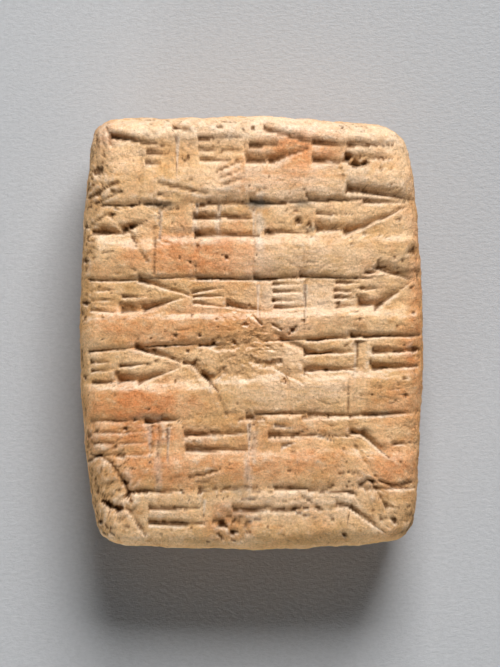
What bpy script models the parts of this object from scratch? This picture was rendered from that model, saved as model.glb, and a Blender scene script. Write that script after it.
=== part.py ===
"""A small clay tablet with six rows of wedge-shaped strokes pressed into its front.

The tablet lies on its back. +Z leaves the written face and +Y is the top of the text.
The origin is under the middle of the tablet, on the surface that it lies on.
"""

import math
import random
from collections import namedtuple

import bmesh
import bpy
from mathutils import Vector

MM = 0.001

# The tablet as a plain cake of clay
LENGTH = 42.0 * MM
WIDTH = 33.4 * MM
THICKNESS = 14.0 * MM
EDGE_HEIGHT = 6.6 * MM  # height of the widest line, where the front turns into the back

# How far each corner of the outline lies inside the full width and length
CORNER_INSETS = {
    "top_left": Vector((1.3, 0.15)) * MM,
    "top_right": Vector((1.5, 1.3)) * MM,
    "bottom_left": Vector((1.8, 0.5)) * MM,
    "bottom_right": Vector((0.8, 1.0)) * MM,
}
SIDE_BOW = 1.5  # power of each side's bow between two corners
CORNER_POWER = 15.0  # superellipse power of the outline's corners
FRONT_POWER = 5.3  # superellipse power of the front's rounding, from the face to the widest line
BACK_POWER = 2.8  # the same for the back, which is fuller
REST_SHARE = 0.45  # share of the back's reach that is flat, where the tablet rests

# The front is a grid, and rings of faces close the sides and the back
GRID_COLUMNS = 16
GRID_ROWS = 38
GRID_REACH = 0.9  # share of the outline's reach that the grid covers
FRONT_RINGS = 3
BACK_RINGS = 6

# Rows of strokes: where each ruled line is as a share of the length from the top, how much it
# rises to the right, how hard its strokes are pressed, and the groups of strokes under it with
# their shares of the row. Over the first row there is only the tablet's edge.
Row = namedtuple("Row", "line rise press groups")
ROWS = (
    Row(0.032, 0.00, 1.4, "slant 82, post 24, stack 44, arrow 66, bars 32, bars 46, blank 26"),
    Row(0.201, 0.02, 1.0, "wedge 64, shelf 36, brick 60, post 10, ledge 46, barb 104"),
    Row(0.373, 0.01, 1.0, "stack 26, arrow 74, fan 32, bar 32, post 14, comb 28, post 32, comb 22, barb 60"),
    Row(0.523, 0.05, 1.1, "stack 24, arrow 66, hook 36, blank 34, slope 48, bars 50, post 16, bars 46"),
    Row(0.694, 0.03, 1.0, "stack 58, posts 34, bars 62, post 18, cross 82, hook 40, ledge 26"),
    Row(0.862, 0.02, 1.1, "blank 34, hook 22, bars 52, peg 30, cross 102, hook 48, blank 32"),
)
ROW_LEFT = 0.032  # share of the width between the left edge and the rows
ROW_REACH = 0.945  # share of the width that a row of strokes covers
ZONE_HEIGHT = 3.1 * MM  # height of the strokes under a ruled line
ZONE_DEPTH = 0.48 * MM  # how far the strokes' ground lies below the swelling between rows
SWELLING_RISE = (0.95, 1.4)  # where the swelling rises under the strokes, in zone heights
SWELLING_FALL = 0.95  # height of its fall to the next ruled line, in zone heights
RELIEF_END = 0.84  # share of the outline's reach at which the swellings start to fade out
RULE_PARTS = 6  # a ruled line is pressed in this many parts
RULE_STEP = 0.20  # share of the row that each part covers, a little over the next one
RULE_STRAY = 0.08  # how far a part strays up or down, in heights of the strokes' zone
POST_DROP = 1.8  # how far an upright's thin tail runs down, in heights of the strokes' zone
PEG_DROP = 0.95  # the same for a short upright
FACE_DROP = 0.98  # the same for the broad face beside it
FACE_SHARE = 0.8  # width of that face, as a share of the place that the upright has
UPRIGHT_PLACE = 0.15  # where in its place an upright stands

# A stroke's pressed faces: how far they reach to the left and right of the line from its head to
# its tail, how deep its head goes, and how far past the tail they would meet in a point, in
# lengths of the stroke
Style = namedtuple("Style", "left right depth run_on")
BAR = Style(1.15 * MM, 0.24 * MM, 0.72 * MM, 1.2)
NARROW = Style(0.66 * MM, 0.20 * MM, 0.48 * MM, 1.0)
WIDE = Style(1.75 * MM, 0.30 * MM, 0.95 * MM, 1.0)
SLANT = Style(1.50 * MM, 0.28 * MM, 0.90 * MM, 0.3)
HEAD = Style(1.00 * MM, 0.24 * MM, 0.70 * MM, 1.5)
LINE = Style(0.40 * MM, 0.20 * MM, 0.42 * MM, 0.1)
RULE = Style(0.60 * MM, 0.20 * MM, 0.48 * MM, 1.0)
DEEP = Style(0.95 * MM, 0.30 * MM, 1.25 * MM, 0.25)
SCORE = Style(0.16 * MM, 1.00 * MM, 0.36 * MM, 0.3)
PRESSURE = (0.75, 1.2)  # least and greatest depth that a hand gives a stroke, as a share of its own
HEAD_LENGTH = 1.8 * MM
HEAD_LEAD = 0.33  # share of an upright's head that lies on its left
FACE_DEPTH = 0.40 * MM  # depth of the broad face beside an upright
HEAD_SLOPE = 0.35  # distance from a stroke's blunt end to its deepest point, in depths
CUTTER_RISE = 0.8 * MM  # how far a cutter widens above the clay
CUTTER_TOP = 4.0 * MM  # how far it goes straight up from there
WOBBLE = 0.12 * MM  # how far a hand misses the regular place of a stroke
HAND_SEED = 6

# Broken and rubbed places: middle as shares of the width and length from the top left corner, its
# height over the front there, and half sizes across, along and down
Chip = namedtuple("Chip", "across down rise size")
CHIPS = (
    Chip(0.05, 0.88, 0.4 * MM, Vector((1.7, 2.6, 2.0)) * MM),
    Chip(0.12, 0.81, 0.5 * MM, Vector((1.6, 2.2, 0.8)) * MM),
    Chip(0.12, 0.93, 0.4 * MM, Vector((2.2, 1.4, 1.2)) * MM),
    Chip(0.45, 0.955, 0.9 * MM, Vector((2.2, 1.2, 1.1)) * MM),
    Chip(0.49, 0.57, 1.9 * MM, Vector((3.9, 3.0, 2.3)) * MM),
    Chip(0.79, 0.095, 0.6 * MM, Vector((1.0, 0.5, 1.1)) * MM),
    Chip(0.06, 0.05, 0.5 * MM, Vector((0.9, 1.2, 0.9)) * MM),
    Chip(0.04, 0.14, 0.4 * MM, Vector((0.7, 1.6, 0.8)) * MM),
    Chip(0.015, 0.295, 0.3 * MM, Vector((0.35, 0.9, 1.0)) * MM),
)
CHIP_ROUGHNESS = 0.22  # how far a chip's facets stray from an ellipsoid
CHIP_SEED = 3

INVERSE_STEPS = 4  # enough to find a place's point of the square to a hundredth of a millimetre

CLAY_COLOUR = (0.60, 0.38, 0.21, 1.0)
CLAY_ROUGHNESS = 0.85

Stroke = namedtuple("Stroke", "head tail style")


def remove_everything():
    for obj in list(bpy.data.objects):
        bpy.data.objects.remove(obj, do_unlink=True)


def smoothstep(low, high, value):
    """0 under low, 1 over high, and a smooth rise between them."""
    share = min(max((value - low) / (high - low), 0.0), 1.0)
    return share * share * (3.0 - 2.0 * share)


def mix(a, b, share):
    return a + (b - a) * share


def outline_point(across, up):
    """Where a point of the square from -1 to 1 lies on the tablet, seen from above.

    The square's sides become the tablet's four bowed sides.
    """
    right_share = (across + 1.0) / 2.0
    top_share = (up + 1.0) / 2.0
    top_left, top_right = CORNER_INSETS["top_left"], CORNER_INSETS["top_right"]
    bottom_left, bottom_right = CORNER_INSETS["bottom_left"], CORNER_INSETS["bottom_right"]
    side_bow = abs(up) ** SIDE_BOW
    end_bow = abs(across) ** SIDE_BOW
    left = -WIDTH / 2 + side_bow * mix(bottom_left.x, top_left.x, top_share)
    right = WIDTH / 2 - side_bow * mix(bottom_right.x, top_right.x, top_share)
    top = LENGTH / 2 - end_bow * mix(top_left.y, top_right.y, right_share)
    bottom = -LENGTH / 2 + end_bow * mix(bottom_left.y, bottom_right.y, right_share)
    return mix(left, right, right_share), mix(bottom, top, top_share)


def rounding(across, up):
    """The share by which a point of the square moves towards the middle to round its corners."""
    reach = max(abs(across), abs(up))
    if reach == 0.0:
        return 1.0
    power = abs(across / reach) ** CORNER_POWER + abs(up / reach) ** CORNER_POWER
    return power ** (-1.0 / CORNER_POWER)


def reach_of(x, y):
    """How far a place on the front is from the middle, as a share of the way to the outline.

    It closes in on the point of the square that lies at that place.
    """
    across, up = 2 * x / WIDTH, 2 * y / LENGTH
    for _ in range(INVERSE_STEPS):
        at_x, at_y = outline_point(across, up)
        across += 2 * (x - at_x) / WIDTH
        up += 2 * (y - at_y) / LENGTH
    return (abs(across) ** CORNER_POWER + abs(up) ** CORNER_POWER) ** (1.0 / CORNER_POWER)


def front_height(reach):
    """Height of the front, without its swellings, at a share of the way to the outline."""
    rise = THICKNESS - EDGE_HEIGHT
    return EDGE_HEIGHT + rise * max(1.0 - reach**FRONT_POWER, 0.0) ** (1.0 / FRONT_POWER)


def line_height(row, x):
    """Y of a row's ruled line."""
    return LENGTH / 2 - row.line * LENGTH + row.rise * x


def ground_depth(x, y):
    """How far the front lies below the tops of its swellings: each swells under a row's strokes and
    falls ever more steeply to the next ruled line."""
    rise_start, rise_end = SWELLING_RISE
    for row, after in zip(ROWS, ROWS[1:] + (None,)):
        below = line_height(row, x) - y
        pitch = line_height(row, x) - line_height(after, x) if after else LENGTH / 2
        if 0.0 <= below < pitch:
            rise = smoothstep(rise_start * ZONE_HEIGHT, rise_end * ZONE_HEIGHT, below)
            fall = max(1.0 - (pitch - below) / (SWELLING_FALL * ZONE_HEIGHT), 0.0)
            return ZONE_DEPTH * (1.0 - rise * (1.0 - fall * fall))
    return 0.0


class Cell:
    """The box under a ruled line that one group of strokes fills: places in it are shares."""

    def __init__(self, row, left, width, hand):
        self.row = row
        self.left = left
        self.width = width
        self.hand = hand

    def place(self, across, down):
        x = self.left + across * self.width
        return Vector((x, line_height(self.row, x) - down * ZONE_HEIGHT))

    def stroke(self, style, head, tail):
        """A stroke from its blunt head to its pointed tail, a little off its regular place."""
        missed = Vector((self.hand.uniform(-WOBBLE, WOBBLE), self.hand.uniform(-WOBBLE, WOBBLE)))
        end_missed = self.hand.uniform(-WOBBLE, WOBBLE)
        press = self.row.press * self.hand.uniform(*PRESSURE)
        pressed = style._replace(depth=style.depth * press)
        tail_place = self.place(*tail) + missed + Vector((0.0, end_missed))
        return Stroke(self.place(*head) + missed, tail_place, pressed)


def rule(cell):
    """The line ruled over a row, pressed part by part."""
    strokes = []
    for i in range(RULE_PARTS):
        start = i / RULE_PARTS
        down = cell.hand.uniform(-RULE_STRAY, RULE_STRAY)
        strokes.append(cell.stroke(RULE, (start, down), (start + RULE_STEP, down)))
    return strokes


def levels(cell, count, style):
    """Level strokes one under the other, with their tails run under the next group."""
    downs = [0.98 * (i + 1) / count for i in range(count)]
    return [cell.stroke(style, (0.03, down), (1.06, down)) for down in downs]


def bar(cell):
    return [cell.stroke(BAR, (0.03, 0.9), (1.06, 1.02))]


def bars(cell):
    return levels(cell, 2, BAR)


def stack(cell):
    return levels(cell, 3, NARROW)


def comb(cell):
    return levels(cell, 4, NARROW)


def post(cell, count=1, drop=POST_DROP):
    """Uprights side by side, each with its head on the ruled line, a thin tail and a broad face."""
    strokes = []
    head = HEAD_LENGTH / cell.width
    face = Style(FACE_SHARE * cell.width / count, LINE.right, FACE_DEPTH, 1.0)
    for i in range(count):
        across = (i + UPRIGHT_PLACE) / count
        head_start = across - HEAD_LEAD * head
        strokes.append(cell.stroke(HEAD, (head_start, 0.0), (head_start + head, 0.02)))
        strokes.append(cell.stroke(face, (across, 0.05), (across, FACE_DROP)))
        strokes.append(cell.stroke(LINE, (across, 0.2), (across, drop)))
    return strokes


def posts(cell):
    return post(cell, 2)


def peg(cell):
    return post(cell, 1, PEG_DROP)


def arrow(cell):
    """Strokes that run together at the right, half way down."""
    return [
        cell.stroke(BAR, (0.30, 0.02), (1.0, 0.5)),
        cell.stroke(NARROW, (0.08, 0.55), (0.5, 0.53)),
        cell.stroke(WIDE, (0.04, 1.02), (0.5, 0.96)),
        cell.stroke(SLANT, (0.36, 1.04), (1.04, 0.56)),
    ]


def barb(cell):
    """Strokes that run together at the right, at the ruled line."""
    return [
        cell.stroke(WIDE, (0.32, -0.28), (0.98, 0.07)),
        cell.stroke(NARROW, (0.05, 0.42), (0.4, 0.4)),
        cell.stroke(WIDE, (0.03, 0.94), (0.42, 0.92)),
        cell.stroke(SLANT, (0.3, 1.08), (1.03, 0.06)),
    ]


def brick(cell):
    """Two level strokes crossed by two short uprights."""
    uprights = [cell.stroke(LINE, (across, 0.02), (across, 1.15)) for across in (0.08, 0.45)]
    return bars(cell) + uprights


def fan(cell):
    """Short strokes that spread from one place."""
    ends = (0.3, 0.62, 0.95)
    return [cell.stroke(NARROW, (0.05, 0.35 + 0.5 * end), (1.0, end)) for end in ends]


def cross(cell):
    """A deep level stroke under a shallow one, and thin ones that lean against it."""
    return [
        cell.stroke(NARROW, (0.42, 0.0), (1.02, 0.0)),
        cell.stroke(BAR, (0.02, 0.6), (1.02, 0.58)),
        cell.stroke(LINE, (0.1, 0.26), (0.6, 0.44)),
        cell.stroke(LINE, (0.18, 0.98), (0.55, 0.66)),
        cell.stroke(LINE, (0.62, 0.64), (0.96, 0.94)),
    ]


def hook(cell):
    """A broad short stroke, and one that falls from it to the right."""
    return [
        cell.stroke(HEAD, (0.0, 0.48), (0.42, 0.56)),
        cell.stroke(BAR, (0.26, 0.54), (1.0, 1.4)),
    ]


def slope(cell):
    """A long stroke that falls to the right from a short one."""
    return [
        cell.stroke(HEAD, (0.0, 0.7), (0.4, 0.74)),
        cell.stroke(BAR, (0.3, 0.74), (1.0, 1.35)),
    ]


def slant(cell):
    """One long stroke that falls a little to the right, over two short ones."""
    return [
        cell.stroke(DEEP, (0.22, 0.26), (1.0, 0.6)),
        cell.stroke(NARROW, (0.7, 0.78), (0.98, 0.76)),
        cell.stroke(NARROW, (0.68, 1.1), (0.86, 1.1)),
    ]


def shelf(cell):
    """An upright under one long stroke that is steep on its upper side."""
    return post(cell) + [cell.stroke(SCORE, (0.08, -0.38), (1.5, 0.0))]


def wedge(cell):
    """One broad stroke that turns up to the right."""
    return [
        cell.stroke(WIDE, (0.04, 0.86), (0.62, 0.84)),
        cell.stroke(SLANT, (0.5, 0.88), (0.98, 0.42)),
    ]


def ledge(cell):
    """A bare place over one shallow level stroke."""
    return [cell.stroke(NARROW, (0.0, 0.92), (1.02, 0.9))]


def blank(cell):
    return []


GROUPS = {
    "bar": bar,
    "bars": bars,
    "stack": stack,
    "comb": comb,
    "post": post,
    "posts": posts,
    "peg": peg,
    "arrow": arrow,
    "barb": barb,
    "brick": brick,
    "fan": fan,
    "cross": cross,
    "hook": hook,
    "slope": slope,
    "slant": slant,
    "shelf": shelf,
    "wedge": wedge,
    "ledge": ledge,
    "blank": blank,
}


def all_strokes():
    """Every stroke of the front: a ruled line for each row, and its groups from left to right."""
    hand = random.Random(HAND_SEED)
    strokes = []
    row_width = ROW_REACH * WIDTH
    row_left = (ROW_LEFT - 0.5) * WIDTH
    for row in ROWS:
        whole = Cell(row, row_left, row_width, hand)
        if row is not ROWS[0]:
            strokes += rule(whole)
        groups = [entry.split() for entry in row.groups.split(",")]
        total = sum(float(share) for _, share in groups)
        left = row_left
        for name, share in groups:
            width = row_width * float(share) / total
            strokes += GROUPS[name](Cell(row, left, width, hand))
            left += width
    return strokes


def ground_height(place):
    """Height of the strokes' ground under a place on the front."""
    return front_height(min(reach_of(place.x, place.y), 1.0)) - ZONE_DEPTH


def stroke_corners(stroke):
    """A stroke's left and right corners, the far point that its faces run to, and its deepest
    point. The corners are on the clay's ground, or level with it where the clay falls away towards
    the edge."""
    head, tail, style = stroke
    along = (tail - head).normalized()
    leftward = Vector((-along.y, along.x))
    deepest = head + along * style.depth * HEAD_SLOPE
    far = tail + (tail - head) * style.run_on
    ground = ground_height(deepest)
    sides = [head + leftward * style.left, head - leftward * style.right]
    left, right = (Vector((*side, max(ground_height(side), ground))) for side in sides)
    point = Vector((*deepest, ground - style.depth))
    tail_share = (tail - deepest).length / (far - deepest).length
    tail_bottom = max(ground_height(tail), ground) - style.depth * (1.0 - tail_share)
    beyond = Vector((*far, point.z + (tail_bottom - point.z) / tail_share))
    return left, right, beyond, point


def add_wedge(bm, stroke):
    """A stroke's cutter: the corner of the stylus, point down, standing out of the clay."""
    left, right, beyond, point = stroke_corners(stroke)
    growth = 1.0 + CUTTER_RISE / stroke.style.depth
    left, right, beyond = (point + (corner - point) * growth for corner in (left, right, beyond))
    along = (stroke.tail - stroke.head).normalized().to_3d()
    tail_distance = along.dot(stroke.tail.to_3d())

    def over_tail(corner):
        """Where the edge from a corner to the far point passes over the stroke's tail."""
        distance = along.dot(corner)
        return corner.lerp(beyond, (tail_distance - distance) / (along.dot(beyond) - distance))

    shoulders = [bm.verts.new(co) for co in (left, over_tail(left), over_tail(right), right)]
    top = [bm.verts.new(shoulder.co + Vector((0.0, 0.0, CUTTER_TOP))) for shoulder in shoulders]
    tip, tail_tip = bm.verts.new(point), bm.verts.new(over_tail(point))
    head_left, tail_left, tail_right, head_right = shoulders
    bm.faces.new((head_left, tip, head_right))
    bm.faces.new((head_left, tail_left, tail_tip, tip))
    bm.faces.new((head_right, tip, tail_tip, tail_right))
    bm.faces.new((tail_left, tail_right, tail_tip))
    bm.faces.new(top)
    for i in range(4):
        after = (i + 1) % 4
        bm.faces.new((top[i], shoulders[i], shoulders[after], top[after]))


def add_lump(bm, chip, hand):
    """A chip's cutter: an ellipsoid of rough facets."""
    x, y = (chip.across - 0.5) * WIDTH, (0.5 - chip.down) * LENGTH
    middle = Vector((x, y, front_height(min(reach_of(x, y), 1.0)) + chip.rise))
    made = bmesh.ops.create_icosphere(bm, subdivisions=2, radius=1.0)
    for vert in made["verts"]:
        stray = 1.0 + hand.uniform(-CHIP_ROUGHNESS, CHIP_ROUGHNESS)
        vert.co = middle + Vector(a * b for a, b in zip(vert.co * stray, chip.size))


def make_cutters():
    """One hidden object that holds the cutters of all the strokes and chips."""
    bm = bmesh.new()
    for stroke in all_strokes():
        add_wedge(bm, stroke)
    hand = random.Random(CHIP_SEED)
    for chip in CHIPS:
        add_lump(bm, chip, hand)
    bmesh.ops.recalc_face_normals(bm, faces=bm.faces)
    cutters = object_from(bm, "cutters")
    cutters.hide_render = True
    cutters.display_type = "WIRE"
    return cutters


def ring_profile():
    """The share of the outline's reach and the height of each ring, from the front's grid to the
    flat underside."""
    quarter_turn = math.pi / 2
    start = math.asin(GRID_REACH ** (FRONT_POWER / 2))
    rings = []
    for i in range(1, FRONT_RINGS + 1):
        reach = math.sin(mix(start, quarter_turn, i / FRONT_RINGS)) ** (2 / FRONT_POWER)
        rings.append((reach, front_height(reach)))
    end = math.asin(REST_SHARE ** (BACK_POWER / 2))
    drop = EDGE_HEIGHT / math.cos(end) ** (2 / BACK_POWER)
    for i in range(1, BACK_RINGS + 1):
        angle = mix(quarter_turn, end, i / BACK_RINGS)
        height = EDGE_HEIGHT - drop * math.cos(angle) ** (2 / BACK_POWER)
        rings.append((math.sin(angle) ** (2 / BACK_POWER), max(height, 0.0)))
    return rings


def front_point(across, up):
    """Where a vertex of the square grid lies on the front."""
    share = rounding(across, up) * GRID_REACH
    x, y = outline_point(across * share, up * share)
    reach = max(abs(across), abs(up)) * GRID_REACH
    relief = 1.0 - smoothstep(RELIEF_END, GRID_REACH, reach)
    return Vector((x, y, front_height(reach) - relief * ground_depth(x, y)))


def side_point(across, up, ring):
    """Where a vertex of a ring lies on the sides or the back."""
    reach, height = ring
    share = rounding(across, up) * reach
    return Vector((*outline_point(across * share, up * share), height))


def make_clay():
    """The plain tablet: a square grid with a tube of rings under it, bent to the tablet's form."""
    bm = bmesh.new()
    bmesh.ops.create_grid(bm, x_segments=GRID_COLUMNS, y_segments=GRID_ROWS, size=1.0)
    rings = ring_profile()
    edge = [e for e in bm.edges if e.is_boundary]
    # Each ring is one step down, so that a vertex's height tells its ring
    for _ in rings:
        made = bmesh.ops.extrude_edge_only(bm, edges=edge)["geom"]
        verts = [g for g in made if isinstance(g, bmesh.types.BMVert)]
        bmesh.ops.translate(bm, verts=verts, vec=(0.0, 0.0, -1.0))
        edge = [g for g in made if isinstance(g, bmesh.types.BMEdge) and g.is_boundary]
    bmesh.ops.contextual_create(bm, geom=edge)
    for vert in bm.verts:
        across, up, level = vert.co.x, vert.co.y, round(-vert.co.z)
        vert.co = side_point(across, up, rings[level - 1]) if level else front_point(across, up)
    bmesh.ops.triangulate(bm, faces=[f for f in bm.faces if len(f.verts) == 4])
    bmesh.ops.recalc_face_normals(bm, faces=bm.faces)
    return object_from(bm, "tablet")


def object_from(bm, name):
    mesh = bpy.data.meshes.new(name)
    bm.to_mesh(mesh)
    bm.free()
    obj = bpy.data.objects.new(name, mesh)
    bpy.context.scene.collection.objects.link(obj)
    return obj


def clay_material():
    material = bpy.data.materials.new("clay")
    material.use_nodes = True
    shader = material.node_tree.nodes["Principled BSDF"]
    shader.inputs["Base Color"].default_value = CLAY_COLOUR
    shader.inputs["Roughness"].default_value = CLAY_ROUGHNESS
    shader.inputs["Metallic"].default_value = 0.0
    return material


def carve(tablet, cutters):
    carving = tablet.modifiers.new("strokes and chips", "BOOLEAN")
    carving.operation = "DIFFERENCE"
    carving.solver = "EXACT"
    carving.use_self = True
    carving.object = cutters


def main():
    remove_everything()
    tablet = make_clay()
    tablet.data.materials.append(clay_material())
    carve(tablet, make_cutters())


main()
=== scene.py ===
"""The visual model of a small clay tablet: fine relief, dry clay, a paper floor, soft light.

Lengths are in millimetres, and the finished mesh is scaled to metres. The tablet lies on its
back: +Z leaves the written face, and +Y is the top of the text.
"""

import itertools
import math
import random
from collections import namedtuple

import bpy
import numpy as np
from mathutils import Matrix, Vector


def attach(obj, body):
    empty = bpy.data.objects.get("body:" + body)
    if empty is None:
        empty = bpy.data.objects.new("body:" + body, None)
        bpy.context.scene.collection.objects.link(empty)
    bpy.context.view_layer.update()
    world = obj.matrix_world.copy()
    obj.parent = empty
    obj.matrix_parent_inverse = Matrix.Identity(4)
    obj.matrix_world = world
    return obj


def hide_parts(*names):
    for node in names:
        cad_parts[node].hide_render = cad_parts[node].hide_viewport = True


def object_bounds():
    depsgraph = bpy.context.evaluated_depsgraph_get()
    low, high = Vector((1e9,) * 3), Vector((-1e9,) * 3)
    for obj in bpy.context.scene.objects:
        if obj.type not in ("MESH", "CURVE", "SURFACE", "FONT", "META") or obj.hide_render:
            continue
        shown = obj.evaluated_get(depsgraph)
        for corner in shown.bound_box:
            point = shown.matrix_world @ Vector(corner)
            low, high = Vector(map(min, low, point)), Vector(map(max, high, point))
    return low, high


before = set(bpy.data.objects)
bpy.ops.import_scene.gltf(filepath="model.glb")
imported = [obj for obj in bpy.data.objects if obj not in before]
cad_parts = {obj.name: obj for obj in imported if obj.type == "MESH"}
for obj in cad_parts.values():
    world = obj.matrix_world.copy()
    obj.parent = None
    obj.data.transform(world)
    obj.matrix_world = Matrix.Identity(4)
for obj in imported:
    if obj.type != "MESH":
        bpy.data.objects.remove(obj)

CAD_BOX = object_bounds()
MM = 0.001

# The tablet's form, as in the solid
LENGTH = 42.0
WIDTH = 33.4
THICKNESS = 14.0
EDGE_HEIGHT = 6.6
CORNER_INSETS = {
    "top_left": (1.3, 0.15),
    "top_right": (1.5, 1.3),
    "bottom_left": (1.8, 0.5),
    "bottom_right": (0.8, 1.0),
}
SIDE_BOW = 1.5
CORNER_POWER = 15.0
FRONT_POWER = 5.3
BACK_POWER = 2.8
REST_SHARE = 0.45

# The mesh: a dense grid on the front, and coarser rings round the sides to a coarser back
COLUMNS = 240
ROWS_OF_FACES = 296
GRID_REACH = 0.9
FINE_RINGS = 15
HALF_RINGS = 9
QUARTER_RINGS = 6

# Rows of strokes, laid out as in the solid, with the first and the last pressed less than there:
# the share of the length above the row's ruled line, its slant, how hard its strokes are pressed,
# and the kinds and widths of its groups
Row = namedtuple("Row", "line rise press groups")
ROWS = (
    Row(0.032, 0.00, 1.25, "slant 82, post 24, stack 44, arrow 66, bars 32, bars 46, blank 26"),
    Row(0.201, 0.02, 1.0, "wedge 64, shelf 36, brick 60, post 10, ledge 46, barb 104"),
    Row(
        0.373,
        0.01,
        1.0,
        "stack 26, arrow 74, fan 32, bar 32, post 14, comb 28, post 32, comb 22, barb 60",
    ),
    Row(0.523, 0.05, 1.1, "stack 24, arrow 66, hook 36, blank 34, slope 48, bars 50, post 16, bars 46"),
    Row(0.694, 0.03, 1.0, "stack 58, posts 34, bars 62, post 18, cross 82, hook 40, ledge 26"),
    Row(0.862, 0.02, 0.85, "blank 34, hook 22, bars 52, peg 30, cross 102, hook 48, blank 32"),
)
ROW_LEFT = 0.032
ROW_REACH = 0.945
ZONE_HEIGHT = 3.1
ZONE_DEPTH = 0.48
SWELLING_RISE = (0.95, 1.4)
SWELLING_FALL = 0.95
RULE_PARTS = 6
RULE_STEP = 0.20
RULE_STRAY = 0.08
POST_DROP = 1.8
PEG_DROP = 0.95
FACE_DROP = 0.98
FACE_SHARE = 0.8
UPRIGHT_PLACE = 0.15
# Kinds of stroke: how far the rim lies to the left and right of the stroke's line, the depth, and
# how far the rim runs on past the tail as a share of the stroke's length
Style = namedtuple("Style", "left right depth run_on")
BAR = Style(1.15, 0.24, 0.72, 1.2)
NARROW = Style(0.66, 0.20, 0.48, 1.0)
WIDE = Style(1.75, 0.30, 0.95, 1.0)
SLANT = Style(1.50, 0.28, 0.90, 0.3)
HEAD = Style(1.00, 0.24, 0.70, 1.5)
LINE = Style(0.40, 0.20, 0.42, 0.1)
RULE = Style(0.60, 0.20, 0.48, 1.0)
DEEP = Style(0.95, 0.30, 1.25, 0.25)
SCORE = Style(0.16, 1.00, 0.36, 0.3)
PRESSURE = (0.75, 1.2)
HEAD_LENGTH = 1.8
HEAD_LEAD = 0.33
FACE_DEPTH = 0.40
HEAD_SLOPE = 0.35
WOBBLE = 0.12
HAND_SEED = 6
Stroke = namedtuple("Stroke", "head tail style")
# Row by row: the share of the zone's depth under the strokes, and the share of the length of the
# swelling's fall to the next line
GROUND_SHARES = (0.85, 1.1, 1.15, 1.1, 0.7, 0.6)
FALL_SHARES = (0.6, 0.8, 0.85, 1.2, 1.1, 1.0)
# The first row has no ruled line, so its ground starts and ends more gradually
SOFT_FIRST_ROW = 1.2
FIRST_ROW_TOP = 1.8
# A stroke's face rolls in from its rim, but an upright's is flat
ROLL_POWER = 2.1
UPRIGHT = -0.8
TAIL_END = 0.12
RIM_BLEND = 0.06
SAMPLE_SHIFT = 0.06
# Ground that is left where the strokes are worn away, and depths at which pale dust is kept
WORN_GROUND = 0.7
RESIDUE_DEPTHS = (0.03, 0.2)

# Unevenness of the clay: its amount, the size of its largest features, how many sizes it comes in,
# each half the one before, and its seed
Texture = namedtuple("Texture", "amount cell octaves seed")
ROW_DRIFT = Texture(0.45, 6.0, 1, 5)
RISE_CHANGE = Texture(0.7, 4.0, 1, 13)
FALL_CHANGE = Texture(0.55, 4.5, 1, 9)
FALL_MEAN = 0.95
GROUND_CHANGE = Texture(0.4, 7.0, 1, 7)
WARPS = (
    (Texture(0.07, 1.6, 3, 11), Texture(0.16, 6.0, 1, 16)),
    (Texture(0.07, 1.6, 3, 21), Texture(0.16, 6.0, 1, 26)),
)
RAGGED = Texture(0.4, 1.1, 3, 31)
HOLE_EDGE = Texture(1.0, 0.45, 2, 35)
TORN_MEAN = 0.3
TORN_FADE = 1.7
GRIT = Texture(1.0, 1.1, 3, 41)
FINE_GRIT = Texture(0.6, 0.6, 2, 45)
# The hand-made surface: broad and fine waves, crumbs in some places, level folds, and thin flakes
# that are missing or raised
WAVES = Texture(1.0, 5.0, 2, 51)
WAVE_DEPTH = 0.10
WAVE_MEAN = 0.6
FINE_WAVES = Texture(0.03, 1.0, 3, 61)
CRUMBLED = Texture(1.0, 4.0, 2, 65)
CRUMBLED_RANGE = (-0.1, 0.6)
CRUMBS = Texture(1.0, 1.6, 3, 67)
CRUMB_DEPTH = 0.05
FLAKES = Texture(1.0, 1.1, 3, 75)
FLAKE_STRETCH = (0.6, 1.0, 1.0)
MISSING_FLAKES = (0.28, 0.36)
MISSING_DEPTH = 0.05
RAISED_FLAKES = (0.3, 0.42)
RAISED_HEIGHT = 0.03
FOLDS = Texture(0.022, 0.6, 2, 71)
FOLD_STRETCH = (0.14, 1.0, 1.0)
SIDE_WAVES = Texture(0.14, 3.0, 3, 81)
SIDE_GRIT = Texture(0.05, 0.8, 2, 85)
SIDE_PITS = Texture(1.0, 1.6, 2, 87)
SIDE_PIT_RANGE = (0.42, 0.7)
SIDE_PIT_DEPTH = 0.10
# Heights between which the relief of the front comes in, on sound and on broken clay
SOUND_FADE = (EDGE_HEIGHT + 3.0, EDGE_HEIGHT + 5.4)
BROKEN_FADE = (EDGE_HEIGHT + 2.2, EDGE_HEIGHT + 5.0)


def table(kind, *rows):
    return tuple(kind(*row) for row in rows)


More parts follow.
